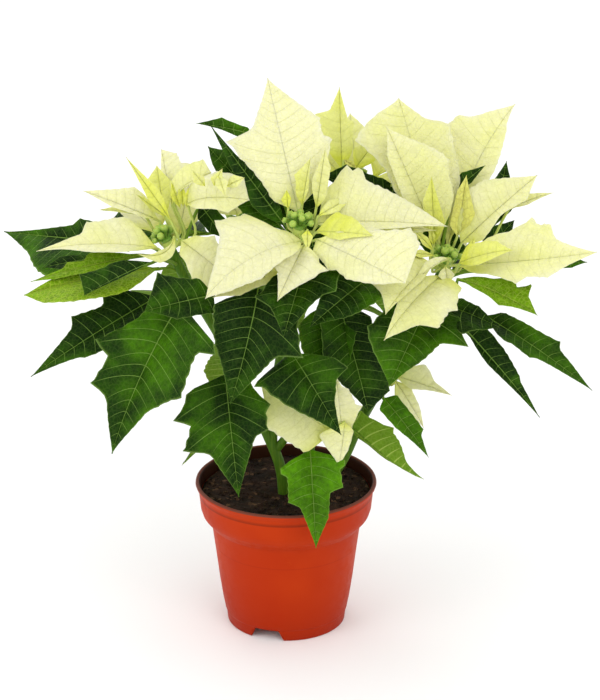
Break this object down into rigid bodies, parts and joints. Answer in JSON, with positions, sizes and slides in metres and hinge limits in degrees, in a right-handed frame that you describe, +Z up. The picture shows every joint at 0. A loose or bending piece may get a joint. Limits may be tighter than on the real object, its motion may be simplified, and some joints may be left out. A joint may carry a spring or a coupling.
{
  "type": "potted poinsettia plant",
  "caption": "White poinsettia with cream bracts and dark green toothed leaves, growing in an orange nursery pot.",
  "frame": {"origin": "middle of the pot's foot on the surface it stands on, which is also close to the middle of the whole plant seen from above", "axes": "+Z up along the pot's axis, -Y towards the side with the front flower head, +X to its right"},
  "size_m": [0.4139, 0.2271, 0.4052],
  "materials": {
    "pot_plastic": "satin",
    "soil": "matte",
    "green_leaf": "satin",
    "cream_bract": "matte",
    "green_bud": "satin"
  },
  "bodies": {
    "root": {"pot": "pot_plastic", "soil": "soil", "leafy_stem_left": "green_leaf", "leafy_stem_right": "green_leaf", "leafy_stem_back": "green_leaf", "bracts_front": "cream_bract", "cyathia_front": "green_bud", "bracts_left": "cream_bract", "cyathia_left": "green_bud", "bracts_right": "cream_bract", "cyathia_right": "green_bud", "bracts_back_right": "cream_bract", "cyathia_back_right": "green_bud", "bracts_back_left": "cream_bract", "cyathia_back_left": "green_bud", "bracts_low_front": "cream_bract", "cyathia_low_front": "green_bud", "bracts_low_right": "cream_bract", "cyathia_low_right": "green_bud"}
  },
  "joints": []
}
